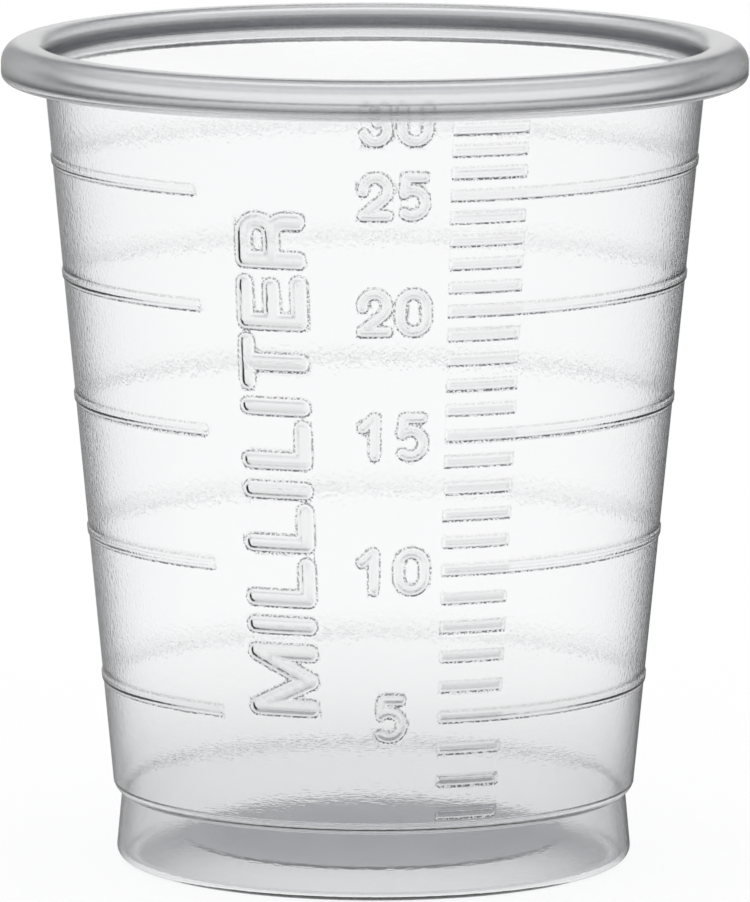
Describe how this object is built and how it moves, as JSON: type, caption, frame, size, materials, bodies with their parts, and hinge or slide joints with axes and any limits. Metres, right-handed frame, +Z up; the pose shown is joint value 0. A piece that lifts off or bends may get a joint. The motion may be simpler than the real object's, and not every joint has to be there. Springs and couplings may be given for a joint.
{
  "type": "medicine cup",
  "caption": "Clear one-piece dosing cup with a tapered wall, raised millilitre lines, a rolled rim and an undercut stacking foot.",
  "frame": {"origin": "centre of the cup on the plane that its foot stands on", "axes": "+Z up along the cup's axis towards the open mouth, -Y towards the front with the scale"},
  "size_m": [0.039, 0.039, 0.0432],
  "materials": {
    "clear_plastic": "clear polypropylene, glossy with a fine formed grain"
  },
  "bodies": {
    "root": {"cup": "clear_plastic"}
  },
  "joints": []
}
